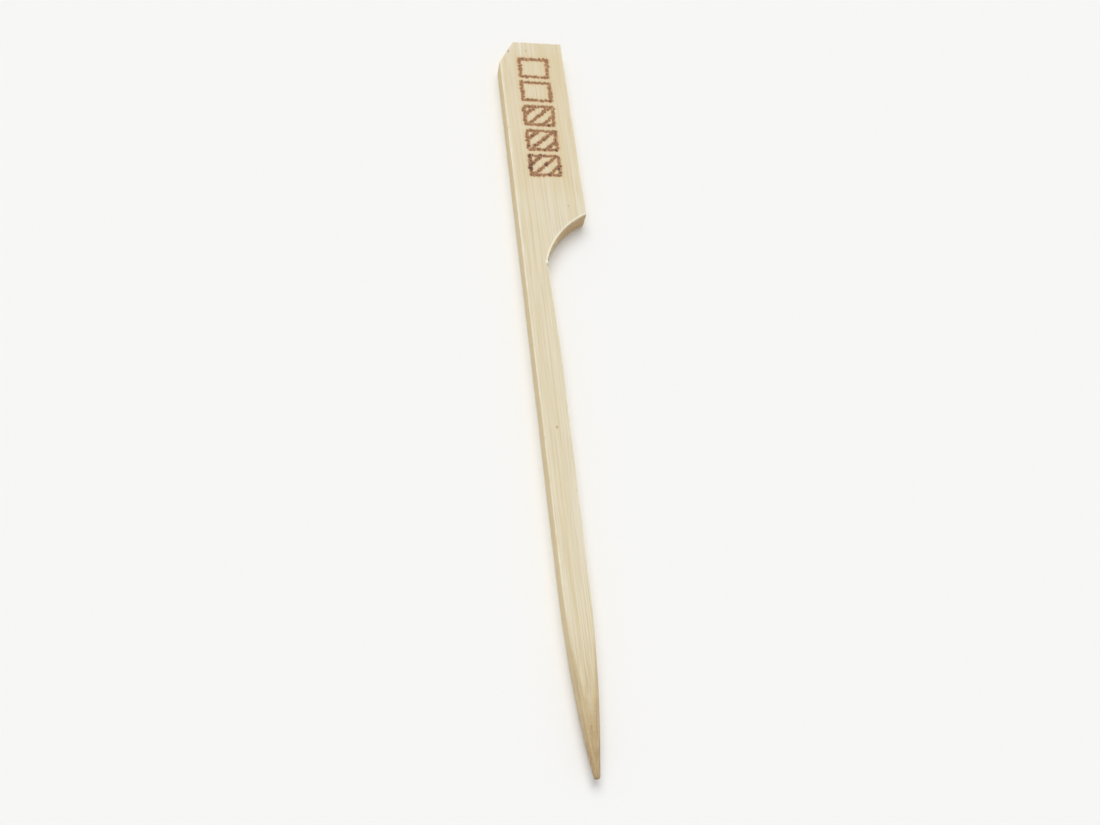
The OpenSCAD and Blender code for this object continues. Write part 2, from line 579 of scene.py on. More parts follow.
class NodeBench:
    """Places and joins nodes in one tree."""

    def __init__(self, tree: Tree) -> None:
        """Takes the tree that the nodes go into."""
        self.tree = tree

    @classmethod
    def open(
        cls, kind: str, name: str, inputs: dict[str, str | float], outputs: dict[str, str]
    ) -> tuple[Self, Sockets, Node]:
        """Opens a new node group.

        Args:
            kind: the kind of tree.
            name: the group's name.
            inputs: each input's kind of socket, or the first value of a plain number.
            outputs: each output's kind of socket.

        Returns:
            A bench on the group's tree, its input sockets by name, and its output node.
        """
        tree = bpy.data.node_groups.new(name, kind)
        for label, value in inputs.items():
            is_kind = isinstance(value, str)
            socket_type = f"NodeSocket{value if is_kind else 'Float'}"
            socket = tree.interface.new_socket(label, in_out="INPUT", socket_type=socket_type)
            if not is_kind:
                socket.default_value = value
        for label, value in outputs.items():
            tree.interface.new_socket(label, in_out="OUTPUT", socket_type=f"NodeSocket{value}")
        source, target = tree.nodes.new("NodeGroupInput"), tree.nodes.new("NodeGroupOutput")
        return cls(tree), {s.name: s for s in source.outputs if s.name}, target

    def add(self, kind: str, inputs: dict[Any, Any] | None = None, **settings: Any) -> Node:
        """Adds a node.

        Args:
            kind: the node's type.
            inputs: what each input socket is set to or fed from, by name or place.
            settings: the node's own properties.

        Returns:
            The node.
        """
        node = self.tree.nodes.new(kind)
        column = len(self.tree.nodes)
        node.location = (180 * column, -60 * (column % 7))
        for name, value in settings.items():
            setattr(node, name, value)
        self.feed_all(node, inputs or {})
        return node

    def feed_all(self, node: Node, values: dict[Any, Any]) -> None:
        """Links or sets a node's input sockets, by name or place."""
        for key, value in values.items():
            self.feed(node.inputs[key], value)

    def feed(self, socket: Socket, value: Any) -> None:
        """Links a socket to another, or sets it to a plain value.

        Args:
            socket: the input socket.
            value: the socket that feeds it, or its value.
        """
        if isinstance(value, Socket):
            self.tree.links.new(value, socket)
        else:
            socket.default_value = value.linear() if isinstance(value, Tint) else value

    def math(self, operation: str, first: Any, second: Any = 0.0, clamp: bool = False) -> Socket:
        """One sum on two numbers or sockets, kept from 0 to 1 if clamp is set."""
        return self.add("ShaderNodeMath", {0: first, 1: second}, operation=operation, use_clamp=clamp).outputs[0]

    def times(self, first: Any, second: Any, clamp: bool = False) -> Socket:
        """The product of two numbers or sockets."""
        return self.math("MULTIPLY", first, second, clamp)

    def plus(self, first: Any, second: Any, clamp: bool = False) -> Socket:
        """The sum of two numbers or sockets."""
        return self.math("ADD", first, second, clamp)

    def weighted(self, *terms: tuple[Socket, float], clamp: bool = False) -> Socket:
        """Adds up numbers, each with a weight.

        Args:
            terms: each number's socket and its weight.
            clamp: whether each sum is kept from 0 to 1.

        Returns:
            The total's socket.
        """
        total, *rest = [self.times(value, weight) for value, weight in terms]
        for term in rest:
            total = self.plus(total, term, clamp)
        return total

    def vector(self, operation: str, first: Any, second: Any) -> Socket:
        """One sum on two vectors."""
        return self.add("ShaderNodeVectorMath", {0: first, 1: second}, operation=operation).outputs[0]

    def scaled(self, vector: Any, factor: Any) -> Socket:
        """A vector times a number."""
        return self.add("ShaderNodeVectorMath", {0: vector, "Scale": factor}, operation="SCALE").outputs[0]

    def spread(
        self, value: Any, low: Any, high: Any, to_low: Any = 0.0, to_high: Any = 1.0, smooth: bool = False
    ) -> Socket:
        """Maps a range of numbers to another, kept within it.

        Args:
            value: the number's socket.
            low: where the range starts.
            high: where it ends.
            to_low: what the start becomes.
            to_high: what the end becomes.
            smooth: whether the ends are eased.

        Returns:
            The result's socket.
        """
        ranges = {"Value": value, "From Min": low, "From Max": high, "To Min": to_low, "To Max": to_high}
        kind = "SMOOTHSTEP" if smooth else "LINEAR"
        return self.add("ShaderNodeMapRange", ranges, interpolation_type=kind).outputs["Result"]

    def fade(self, value: Any, low: Any, high: Any) -> Socket:
        """A number that falls from 1 at low to 0 at high, with eased ends."""
        return self.spread(value, low, high, 1.0, 0.0, smooth=True)

    def noise(
        self, place: Any, stretch: Triple | None = None, detail: float = 2.0, roughness: float = 0.5, scale: float = 1.0
    ) -> Socket:
        """Noise from 0 to 1.

        Args:
            place: where it is read.
            stretch: how many steps of the noise one unit of the place holds, along each axis.
            detail: how many finer layers it has.
            roughness: how strong they are.
            scale: how many steps a unit holds along every axis.

        Returns:
            The noise's socket.
        """
        steps = self.vector("MULTIPLY", place, stretch) if stretch else place
        given = {"Vector": steps, "Scale": scale, "Detail": detail, "Roughness": roughness}
        return self.add("ShaderNodeTexNoise", given).outputs[0]

    def blend(self, mask: Any, under: Any, over: Any) -> Socket:
        """Lays one colour over another, as far as the mask says."""
        return self.add("ShaderNodeMix", {0: mask, 6: under, 7: over}, data_type="RGBA", clamp_factor=True).outputs[2]

    def attribute(self, name: str) -> Socket:
        """The named number that the mesh carries."""
        return self.add("ShaderNodeAttribute", attribute_name=name, attribute_type="GEOMETRY").outputs["Fac"]

    def group(self, tree: Tree, inputs: dict[str, Any]) -> Sockets:
        """Places a group with these inputs, and gives its outputs by name."""
        return {s.name: s for s in self.add("ShaderNodeGroup", inputs, node_tree=tree).outputs}


class GeometryBench(NodeBench):
    """Places and joins nodes in a tree that changes a mesh along strokes."""

    @classmethod
    def begin(cls, name: str, lengths: Iterable[str]) -> tuple[Self, Sockets, Node]:
        """Opens a tree that takes the slat, its strokes, some lengths, a seed and a finish.

        Args:
            name: the tree's name.
            lengths: the name of each length.

        Returns:
            A bench on the tree, its input sockets by name, and its output node.
        """
        inputs = {"Slat": "Geometry", "Strokes": "Object", "Seed": "Int", "Finish": "Material"}
        inputs.update({length: "Float" for length in lengths})
        return cls.open("GeometryNodeTree", name, inputs, {"Slat": "Geometry"})

    def points_along(self, strokes: Socket, step: Socket) -> Socket:
        """Points a step apart along the strokes of a helper object."""
        curve = self.add("GeometryNodeObjectInfo", {"Object": strokes}).outputs["Geometry"]
        return self.add("GeometryNodeCurveToPoints", {"Curve": curve, "Length": step}, mode="LENGTH").outputs["Points"]

    def draw(self, low: float | Triple, high: float | Triple, seed: Any) -> Socket:
        """Draws a random number or vector for each point.

        Args:
            low: the lowest it may be.
            high: the highest it may be.
            seed: fixes the draw.

        Returns:
            What is drawn.
        """
        is_vector = isinstance(low, tuple)
        first, kind = (0, "FLOAT_VECTOR") if is_vector else (2, "FLOAT")
        node = self.add("FunctionNodeRandomValue", {first: low, first + 1: high, "Seed": seed}, data_type=kind)
        return node.outputs[0 if is_vector else 1]

    def sampled(self, kind: str, geometry: Socket, value: Socket, index: Socket) -> Socket:
        """Reads a value of that kind at one point of another geometry."""
        inputs = {"Geometry": geometry, "Value": value, "Index": index}
        return self.add("GeometryNodeSampleIndex", inputs, data_type=kind, domain="POINT").outputs[0]

    def moved(self, geometry: Socket, offset: Socket) -> Socket:
        """A geometry with each point moved by an offset."""
        return self.add("GeometryNodeSetPosition", {"Geometry": geometry, "Offset": offset}).outputs[0]

    def stored(self, geometry: Socket, name: str, value: Any) -> Socket:
        """A geometry that carries a named number on each point."""
        inputs = {"Geometry": geometry, "Name": name, "Value": value}
        return self.add("GeometryNodeStoreNamedAttribute", inputs, data_type="FLOAT", domain="POINT").outputs[0]

    def realized(self, geometry: Socket) -> Socket:
        """A geometry with its instances made real."""
        return self.add("GeometryNodeRealizeInstances", {0: geometry}).outputs[0]

    def combined(self, *parts: Any) -> Socket:
        """A vector made of its parts."""
        return self.add("ShaderNodeCombineXYZ", dict(enumerate(parts))).outputs[0]

    def end(self, geometry: Socket, finish: Socket, target: Node) -> Tree:
        """Ends the tree in plain geometry with its finish.

        Args:
            geometry: what the tree has made.
            finish: its material.
            target: the tree's output node.

        Returns:
            The tree.
        """
        inputs = {"Geometry": self.realized(geometry), "Material": finish}
        self.feed(target.inputs[0], self.add("GeometryNodeSetMaterial", inputs).outputs[0])
        return self.tree


class ShaderGroups:
    """The effects that the finishes share, each built once as a node group."""

    @staticmethod
    def _open(
        name: str, inputs: dict[str, Any], outputs: Sequence[str]
    ) -> tuple[NodeBench, Sockets, Socket, Node]:
        """Opens a new group that reads a place.

        Args:
            name: the group's name.
            inputs: each further input's first value, or its kind of socket.
            outputs: the name of each output, all of them numbers.

        Returns:
            A bench on the group's tree, its input sockets by name, the place in millimetres, and its output node.
        """
        kinds = {label: "Float" for label in outputs}
        bench, given, out = NodeBench.open("ShaderNodeTree", name, {"Vector": "Vector", **inputs}, kinds)
        return bench, given, bench.scaled(given["Vector"], TO_MM), out

    @classmethod
    def grain(cls) -> Tree:
        """Lengthwise streaks, fibre bundles, fine fibres and vessel lines that run through the slat along Y.

        Returns:
            The group, which puts out Streak, Bundle, Fibre and Vessel, each from 0 to 1.
        """
        bench, given, place, out = cls._open(
            "bamboo_grain", {"Width": 0.3, "Length": 18.0, "Wander": 0.5}, ("Streak", "Bundle", "Fibre", "Vessel")
        )
        bent = bench.vector("MULTIPLY", place, (0.09, 0.022, 0.09))
        slow = bench.add("ShaderNodeTexNoise", {"Vector": bent, "Detail": 1.0, "Scale": 1.0}).outputs["Color"]
        drift = bench.vector("MULTIPLY", bench.vector("SUBTRACT", slow, (0.5, 0.5, 0.5)), (1.0, 0.0, 1.0))
        place = bench.vector("ADD", place, bench.scaled(drift, given["Wander"]))
        narrow = bench.math("DIVIDE", 1.0, given["Width"])
        lengthwise = bench.math("DIVIDE", 1.0, given["Length"])

        def stretched(width: float, length: float, shift: float) -> Socket:
            """Lays out the place for a pattern.

            Args:
                width: how many widths broad the pattern is.
                length: how many lengths long it is.
                shift: how far it is moved, so that no two patterns fall together.

            Returns:
                The place, in steps of the pattern.
            """
            step_x = bench.times(narrow, 1 / width)
            step_y = bench.times(lengthwise, 1 / length)
            steps = bench.add("ShaderNodeCombineXYZ", {0: step_x, 1: step_y, 2: step_x}).outputs[0]
            return bench.vector("MULTIPLY", bench.vector("ADD", place, (shift, shift * 3, shift * 2)), steps)

        streak = bench.noise(stretched(1.0, 1.0, 0.0), detail=3.0, roughness=0.6)
        broad = bench.noise(stretched(5.0, 2.5, 11.0), detail=1.0)
        fine = bench.noise(stretched(0.32, 0.3, 23.0), roughness=0.6)
        vessel = bench.noise(stretched(0.27, 0.38, 37.0), detail=1.0, roughness=0.4)
        cells = {"Vector": stretched(1.2, 1.8, 5.0), "Scale": 1.0, "Smoothness": 0.35}
        bundle = bench.add("ShaderNodeTexVoronoi", cells, feature="SMOOTH_F1").outputs["Distance"]
        masks = {
            "Streak": bench.spread(bench.weighted((streak, 0.6), (broad, 0.4)), 0.33, 0.67),
            "Bundle": bench.fade(bundle, 0.18, 0.55),
            "Fibre": bench.spread(fine, 0.3, 0.7),
            "Vessel": bench.spread(vessel, 0.6, 0.74, smooth=True),
        }
        bench.feed_all(out, masks)
        return bench.tree

    @classmethod
    def cut_ends(cls) -> Tree:
        """Cut fibre ends and torn ground tissue, as they show on a cut across the grain.

        Returns:
            The group, which puts out Ends, Mottle and Tear, each from 0 to 1.
        """
        bench, given, place, out = cls._open("bamboo_cut_ends", {"Bundle Size": 0.42}, ("Ends", "Mottle", "Tear"))
        steps = bench.scaled(place, bench.math("DIVIDE", 1.0, given["Bundle Size"]))
        cells = {"Vector": bench.vector("MULTIPLY", steps, (1.0, 0.25, 1.0)), "Scale": 1.0}
        ends = bench.add("ShaderNodeTexVoronoi", cells, feature="F1").outputs["Distance"]
        mottle = bench.noise(place, (1.5, 0.6, 1.5), 3.0, 0.6)
        tear = bench.noise(place, (5.0, 1.6, 2.2), 3.0, 0.65)
        masks = {
            "Ends": bench.fade(ends, 0.12, 0.42),
            "Mottle": bench.spread(mottle, 0.32, 0.68),
            "Tear": bench.spread(tear, 0.5, 0.78, smooth=True),
        }
        bench.feed_all(out, masks)
        return bench.tree

    @classmethod
    def specks(cls) -> Tree:
        """Sparse small specks, a little longer along the grain than across it.

        Returns:
            The group, which puts out Speck, from 0 to 1.
        """
        bench, given, place, out = cls._open("stray_specks", {"Cell": 4.0, "Size": 0.13, "Share": 0.3}, ("Speck",))
        place = bench.vector("MULTIPLY", place, (1.0, 0.62, 1.0))
        rough = bench.add("ShaderNodeTexNoise", {"Vector": place, "Scale": 5.0, "Detail": 2.0}).outputs["Color"]
        shaken = bench.scaled(bench.vector("SUBTRACT", rough, (0.5, 0.5, 0.5)), 0.22)
        steps = bench.scaled(bench.vector("ADD", place, shaken), bench.math("DIVIDE", 1.0, given["Cell"]))
        cells = bench.add("ShaderNodeTexVoronoi", {"Vector": steps, "Scale": 1.0}, feature="F1")
        away = bench.times(cells.outputs["Distance"], given["Cell"])
        draw = bench.add("ShaderNodeSeparateColor", {0: cells.outputs["Color"]}).outputs
        kept = bench.math("LESS_THAN", draw[0], given["Share"])
        size = bench.times(given["Size"], bench.spread(draw[1], 0.0, 1.0, 0.55, 1.35))
        bench.feed(out.inputs[0], bench.times(bench.fade(bench.math("DIVIDE", away, size), 0.6, 1.15), kept))
        return bench.tree

    @classmethod
    def fleck(cls) -> Tree:
        """One ragged fleck at a given place.

        Returns:
            The group, which puts out Fleck, from 0 to 1.
        """
        bench, given, place, out = cls._open("single_fleck", {"Centre": "Vector", "Size": 0.13}, ("Fleck",))
        off = bench.vector("MULTIPLY", bench.vector("SUBTRACT", place, given["Centre"]), (1.0, 0.7, 1.0))
        away = bench.add("ShaderNodeVectorMath", {0: off}, operation="LENGTH").outputs["Value"]
        ragged = bench.math("SUBTRACT", bench.noise(place, scale=7.0), 0.5)
        share = bench.math("DIVIDE", bench.plus(away, bench.times(ragged, 0.16)), given["Size"])
        bench.feed(out.inputs[0], bench.fade(share, 0.5, 1.2))
        return bench.tree

    @classmethod
    def scorch(cls) -> Tree:
        """Burnt dots, from how near each place is to one of them.

        Returns:
            The group, which puts out Halo, Brown, Deep, Char and Pit, each from 0 to 1.
        """
        bench, given, place, out = cls._open(
            "scorch",
            {"Nearness": 0.0, "Sear": 0.5, "Reach": 1.2, "Radius": 0.27},
            ("Halo", "Brown", "Deep", "Char", "Pit"),
        )
        away = bench.times(bench.math("SUBTRACT", 1.0, given["Nearness"]), given["Reach"])
        ragged = bench.math("SUBTRACT", bench.noise(place, (5.5, 1.9, 5.5), 4.0, 0.7), 0.5)
        share = bench.math("DIVIDE", bench.plus(away, bench.times(ragged, 0.5)), given["Radius"])
        present = bench.math("GREATER_THAN", given["Nearness"], 0.001)
        mottle = bench.noise(place, (4.2, 2.2, 4.2), 3.0, 0.65)
        deep = bench.spread(bench.weighted((share, -0.55), (mottle, 1.6)), 0.22, 0.62, smooth=True)
        brown = bench.times(bench.fade(share, 0.72, 1.16), bench.spread(mottle, 0.32, 0.5, 0.72, 1.0))
        patches = bench.noise(place, (1.7, 1.2, 1.7), 3.0, 0.6)
        patches = bench.spread(bench.weighted((given["Sear"], 0.3), (patches, 0.9)), 0.68, 0.84, smooth=True)
        masks = {
            "Halo": bench.fade(share, 0.9, 2.4),
            "Brown": brown,
            "Deep": bench.times(deep, brown),
            "Char": bench.times(bench.spread(share, 0.3, 0.95, 1.0, 0.0), patches),
            "Pit": bench.fade(share, 0.1, 1.1),
        }
        bench.feed_all(out, {label: bench.times(value, present, clamp=True) for label, value in masks.items()})
        return bench.tree


@dataclass(frozen=True)
class Fleck:
    """One brown fleck on the upper face: its place and size in millimetres, and how strongly it shows."""

    x: float
    y: float
    size: float
    strength: float


@dataclass(frozen=True)
class Scatter:
    """Specks strewn over the wood: cell and speck size in millimetres, and the share of cells that hold one."""

    cell: float
    size: float
    share: float


@dataclass(frozen=True)
class SawnBamboo:
    """Unfinished bamboo: pale sawn faces, tan cut ends, worn arrises with a painted highlight, flanks with painted warm
    bounce light, a ground point and burnt marks.
    """

    straw: Tint = Tint(219, 206, 171)
    cream: Tint = Tint(234, 227, 209)
    yellow: Tint = Tint(213, 193, 135)
    # The side walls' tint, laid on by how far a wall faces sideways: a painted warm bounce light on the flanks.
    flank: Tint = Tint(207, 186, 149)
    edge: Tint = Tint(224, 199, 144)
    vessel: Tint = Tint(178, 146, 96)
    end_pale: Tint = Tint(201, 170, 127)
    end_dark: Tint = Tint(160, 125, 89)
    # The pale arris tint: partly worn fibres and partly a painted highlight where the arrises catch light.
    rub_and_highlight: Tint = Tint(248, 242, 218)
    worked: Tint = Tint(196, 171, 125)
    nib: Tint = Tint(178, 153, 112)
    speck: Tint = Tint(150, 108, 70)
    halo: Tint = Tint(212, 182, 122)
    brown: Tint = Tint(191, 147, 105)
    deep: Tint = Tint(146, 104, 74)
    char: Tint = Tint(52, 33, 30)
    streak_w: float = 0.25
    streak_len: float = 26.0
    wander: float = 0.5
    bundle: float = 0.42
    reach: float = 1.2
    dot_r: float = 0.37
    toned_low: float = 29.0
    toned_high: float = 59.0
    toned: float = 0.18
    ground_span: tuple[float, float] = (-59.0, -38.0)
    tip_span: tuple[float, float] = (-60.0, -50.0)
    tip_strength: float = 0.8
    seared: tuple[float, float, float, float] = (32.0, 57.0, 0.25, -0.3)
    # Cap on the pale arris mask, which is partly wear and partly a painted highlight.
    most_wear_and_highlight: float = 0.95
    upper_z: float = 3.0
    bump_depth: float = 0.00003
    specks: Scatter = Scatter(4.2, 0.13, 0.32)
    freckles: Scatter = Scatter(1.3, 0.07, 0.35)
    flecks: tuple[Fleck, ...] = (
        Fleck(-3.31, -12.57, 0.19, 0.5),
        Fleck(-0.78, 57.99, 0.19, 0.32),
        Fleck(-3.72, 57.8, 0.27, 0.6),
        Fleck(2.6, 25.97, 0.16, 0.32),
    )

    def material(self) -> Material:
        """Builds the material.

        Returns:
            The material, whose patterns are laid out on Object coordinates and the slat's own attributes.
        """
        made = bpy.data.materials.new("sawn_bamboo")
        made.use_nodes = True
        made.node_tree.nodes.clear()
        bench = NodeBench(made.node_tree)
        times, spread, blend = bench.times, bench.spread, bench.blend
        place = bench.add("ShaderNodeTexCoord").outputs["Object"]
        arris, across, side, ground = (bench.attribute(n) for n in ("arris", "across", "side", "ground"))
        along = times(bench.add("ShaderNodeSeparateXYZ", {0: place}).outputs[1], TO_MM)
        cut = spread(across, 0.2, 0.85, smooth=True)
        sizes = {"Vector": place, "Width": self.streak_w, "Length": self.streak_len, "Wander": self.wander}
        grain = bench.group(ShaderGroups.grain(), sizes)
        ends = bench.group(ShaderGroups.cut_ends(), {"Vector": place, "Bundle Size": self.bundle})
        specks, freckles, flecks = self._specks(bench, place)
        scorch = self._scorch(bench, place, along)

        toned = times(
            spread(along, self.toned_low - 3.0, self.toned_low + 1.5, 0.0, self.toned, smooth=True),
            bench.fade(along, self.toned_high - 2.5, self.toned_high),
        )
        end_colour = blend(times(ends["Ends"], 0.7), self.end_pale, self.end_dark)
        end_colour = blend(times(ends["Mottle"], 0.45), end_colour, self.flank)
        nib = bench.fade(along, *self.ground_span)
        rings = bench.noise(place, (900.0, 7000.0, 900.0), 2.0, 0.6)
        worked = bench.plus(times(ground, spread(rings, 0.3, 0.75, 0.2, 0.5)), times(nib, 0.55), clamp=True)
        mottle = bench.noise(place, (2600.0, 1100.0, 2600.0), 3.0, 0.65)
        tip = spread(along, *self.tip_span, self.tip_strength, 0.0, smooth=True)
        streaks = bench.noise(place, (3600.0, 240.0, 3600.0), 3.0, 0.6)
        # The pale arris mask, partly wear and partly a painted highlight, with a cap on its strength.
        wear_and_highlight = bench.noise(place, (1500.0, 420.0, 1500.0), 2.0, 0.6)
        wear_and_highlight = bench.math("MINIMUM", times(arris, spread(wear_and_highlight, 0.3, 0.6, 0.45, 0.95)), self.most_wear_and_highlight)

        colour = blend(grain["Streak"], self.straw, self.cream)
        for mask, over in (
            (times(grain["Bundle"], 0.44), self.yellow),
            (times(grain["Fibre"], 0.28), self.flank),
            # Side walls take the warmer tint by their facing: painted warm bounce light on the flanks.
            (times(side, 0.6), self.edge),
            (times(grain["Vessel"], 0.3), self.vessel),
            (toned, self.halo),
            (times(freckles, 0.22), self.speck),
            (times(specks, 0.6), self.speck),
            (flecks, self.speck),
            (cut, end_colour),
            (times(ends["Tear"], times(cut, 0.45)), self.end_dark),
            (worked, self.worked),
            (times(tip, spread(mottle, 0.36, 0.64, 0.55, 1.25), clamp=True), self.nib),
            (times(nib, spread(streaks, 0.47, 0.66, 0.0, 0.55, smooth=True)), self.end_dark),
            # Pale arris tint: partly wear, partly a painted highlight.
            (wear_and_highlight, self.rub_and_highlight),
            (times(scorch["Halo"], 0.36), self.halo),
            (times(scorch["Brown"], 0.95), self.brown),
            (times(scorch["Deep"], 0.9), self.deep),
            (times(scorch["Char"], 0.88), self.char),
        ):
            colour = blend(mask, colour, over)

        rough = spread(grain["Streak"], 0.0, 1.0, 0.5, 0.62)
        rough = bench.weighted((rough, 1.0), (cut, 0.22), (ground, 0.12), (scorch["Brown"], 0.2), clamp=True)
        height = bench.weighted(
            (grain["Fibre"], 0.35),
            (grain["Bundle"], 0.3),
            (grain["Vessel"], -0.7),
            (times(ends["Ends"], cut), -1.2),
            (times(ends["Tear"], cut), -2.0),
            (times(rings, ground), 0.9),
            (specks, -1.0),
            (scorch["Pit"], -1.6),
        )
        bump = bench.add("ShaderNodeBump", {"Strength": 0.5, "Distance": self.bump_depth, "Height": height})
        dressed = {"Base Color": colour, "Roughness": rough, "Normal": bump.outputs[0], "Specular IOR Level": 0.35}
        shader = bench.add("ShaderNodeBsdfPrincipled", dressed)
        bench.add("ShaderNodeOutputMaterial", {"Surface": shader.outputs[0]})
        return made

    def _specks(self, bench: NodeBench, place: Socket) -> tuple[Socket, Socket, Socket]:
        """Lays out the specks, the freckles and the few single flecks that this marker has.

        Args:
            bench: where the nodes go.
            place: Object coordinates.

        Returns:
            How much of a speck, a freckle and a fleck shows at each place.
        """
        strewn, single = ShaderGroups.specks(), ShaderGroups.fleck()
        masks = []
        for kind in (self.specks, self.freckles):
            sizes = {"Vector": place, "Cell": kind.cell, "Size": kind.size, "Share": kind.share}
            masks.append(bench.group(strewn, sizes)["Speck"])
        spots = []
        for fleck in self.flecks:
            sizes = {"Vector": place, "Centre": (fleck.x, fleck.y, self.upper_z), "Size": fleck.size}
            spots.append(bench.times(bench.group(single, sizes)["Fleck"], fleck.strength))
        found = spots[0]
        for spot in spots[1:]:
            found = bench.math("MAXIMUM", found, spot)
        return masks[0], masks[1], found

    def _scorch(self, bench: NodeBench, place: Socket, along: Socket) -> Sockets:
        """Lays out the burnt dots, which are seared more towards the shoulder.

        Args:
            bench: where the nodes go.
            place: Object coordinates.
            along: the place along the slat, in millimetres.

        Returns:
            The masks of the burnt dots, by name.
        """
        inputs = {
            "Vector": place,
            "Nearness": bench.attribute("burn"),
            "Sear": bench.plus(bench.attribute("sear"), bench.spread(along, *self.seared)),
            "Reach": self.reach,
            "Radius": self.dot_r,
        }
        return bench.group(ShaderGroups.scorch(), inputs)


def stroke_object(strokes: Sequence[Stroke]) -> Object:
    """Makes a helper curve of straight-sided strokes.

    Args:
        strokes: the points of each stroke in millimetres, and whether it closes on itself.

    Returns:
        The helper, which a tree reads and which is then removed.
    """
    data = bpy.data.curves.new("strokes", "CURVE")
    data.dimensions = "3D"
    for points, closed in strokes:
        spline = data.splines.new("POLY")
        spline.points.add(len(points) - 1)
        for point, place in zip(spline.points, points):
            point.co = (*(Vector(place) * MM), 1.0)
        spline.use_cyclic_u = closed
    return placed("strokes", data)


def run_tree(
    target: Object, tree: Tree, strokes: Sequence[Stroke], values: dict[str, Any]
) -> None:
    """Runs a geometry tree along strokes, and keeps what it makes as the object's own plain mesh.

    Args:
        target: the object.
        tree: the tree.
        strokes: what the tree follows.
        values: what each named input is set to, with lengths in millimetres.
    """
    helper = stroke_object(strokes)
    modifier = target.modifiers.new(tree.name, "NODES")
    modifier.node_group = tree
    sockets = {s.name: s.identifier for s in tree.interface.items_tree if s.in_out == "INPUT"}
    for name, value in {"Strokes": helper, **values}.items():
        modifier[sockets[name]] = value * MM if isinstance(value, float) else value
    bpy.context.view_layer.update()
    graph = bpy.context.evaluated_depsgraph_get()
    mesh = bpy.data.meshes.new_from_object(target.evaluated_get(graph), preserve_all_data_layers=True, depsgraph=graph)
    target.modifiers.remove(modifier)
    old, target.data = target.data, mesh
    bpy.data.meshes.remove(old)
    bpy.data.objects.remove(helper)


class Fill(Enum):
    """How a box of the gauge is burnt."""

    OPEN = "open"
    HATCHED = "hatched"


@dataclass
class BurntGauge:
    """A plain doneness gauge of five boxes, burnt into the head dot by dot."""

    fills: tuple[Fill, ...] = (Fill.HATCHED, Fill.HATCHED, Fill.HATCHED, Fill.OPEN, Fill.OPEN)
    start_y: float = 31.85
    pitch: float = 5.11
    box_len: float = 3.8
    box_w: float = 4.4
    hatch_gap: float = 2.3
    lean: float = 0.012
    upper_z: float = 3.0
    lowest_z: float = 2.9
    dot_pitch: float = 0.36
    dot_shake: float = 0.09
    dot_depth: float = 0.05
    seed: int = 5

    def _hatching(self, low: float) -> list[Stroke]:
        """The slanting strokes that fill one box.

        Args:
            low: where the box begins along the slat.

        Returns:
            The strokes.
        """
        half, top = self.box_w / 2, self.box_len
        strokes = []
        count = int(2 * (half + top / 2) / self.hatch_gap)
        for place in range(count):
            offset = (place - (count - 1) / 2) * self.hatch_gap
            ends = max(-half, offset - top / 2), min(half, offset + top / 2)
            strokes.append((np.array([(x, low + x - offset + top / 2, self.upper_z) for x in ends]), False))
        return strokes

    def strokes(self) -> list[Stroke]:
        """Every stroke of the gauge.

        Returns:
            The strokes, in millimetres on the upper face.
        """
        found = []
        half, z = self.box_w / 2, self.upper_z
        for place, fill in enumerate(self.fills):
            low = self.start_y + place * self.pitch
            high = low + self.box_len
            found.append((np.array([(-half, low, z), (half, low, z), (half, high, z), (-half, high, z)]), True))
            if fill is Fill.HATCHED:
                found.extend(self._hatching(low))
        middle = self.start_y + self.pitch * 2.5
        for points, _ in found:
            points[:, 0] += (points[:, 1] - middle) * self.lean
        return found

    def _tree(self) -> Tree:
        """Sinks dots along the strokes into a mesh, and marks how near each point is to one.

        Returns:
            The geometry tree.
        """
        lengths = ("Dot Pitch", "Dot Shake", "Dot Radius", "Dot Depth", "Reach", "Face Height")
        bench, given, out = GeometryBench.begin("burnt_dots", lengths)
        dots = bench.points_along(given["Strokes"], given["Dot Pitch"])
        shake = bench.draw((-1.0, -1.0, 0.0), (1.0, 1.0, 0.0), given["Seed"])
        dots = bench.moved(dots, bench.scaled(shake, given["Dot Shake"]))
        place = bench.add("GeometryNodeInputPosition").outputs[0]
        nearest = bench.add("GeometryNodeSampleNearest", {"Geometry": dots, "Sample Position": place}, domain="POINT")
        spot = bench.sampled("FLOAT_VECTOR", dots, place, nearest.outputs[0])
        draw = bench.draw(0.0, 1.0, bench.plus(given["Seed"], 1.0))
        sear = bench.sampled("FLOAT", dots, draw, nearest.outputs[0])
        flat = {key: bench.vector("MULTIPLY", value, (1.0, 1.0, 0.0)) for key, value in ((0, place), (1, spot))}
        away = bench.add("ShaderNodeVectorMath", flat, operation="DISTANCE").outputs["Value"]
        away = bench.times(away, bench.spread(sear, 0.0, 1.0, 1.22, 0.84))
        height = bench.add("ShaderNodeSeparateXYZ", {0: place}).outputs[2]
        upper = bench.math("GREATER_THAN", height, given["Face Height"])
        near = bench.math("SUBTRACT", 1.0, bench.math("DIVIDE", away, given["Reach"]), clamp=True)
        sunk = bench.times(bench.fade(bench.math("DIVIDE", away, given["Dot Radius"]), 0.2, 1.1), upper)
        drop = bench.times(bench.times(sunk, given["Dot Depth"]), -1.0)
        marked = bench.stored(given["Slat"], "burn", bench.times(near, upper))
        marked = bench.stored(marked, "sear", sear)
        return bench.end(bench.moved(marked, bench.combined(0.0, 0.0, drop)), given["Finish"], out)

    def burn_into(self, slat: Object, finish: Material, wood: SawnBamboo) -> None:
        """Burns the gauge into the slat.

        Args:
            slat: the slat's object, which gets the attributes burn and sear.
            finish: the slat's material.
            wood: the finish's sizes, which the dots share.
        """
        values = {
            "Dot Pitch": self.dot_pitch,
            "Dot Shake": self.dot_shake,
            "Dot Radius": wood.dot_r,
            "Dot Depth": self.dot_depth,
            "Reach": wood.reach,
            "Face Height": self.lowest_z,
            "Seed": self.seed,
            "Finish": finish,
        }
        run_tree(slat, self._tree(), self.strokes(), values)


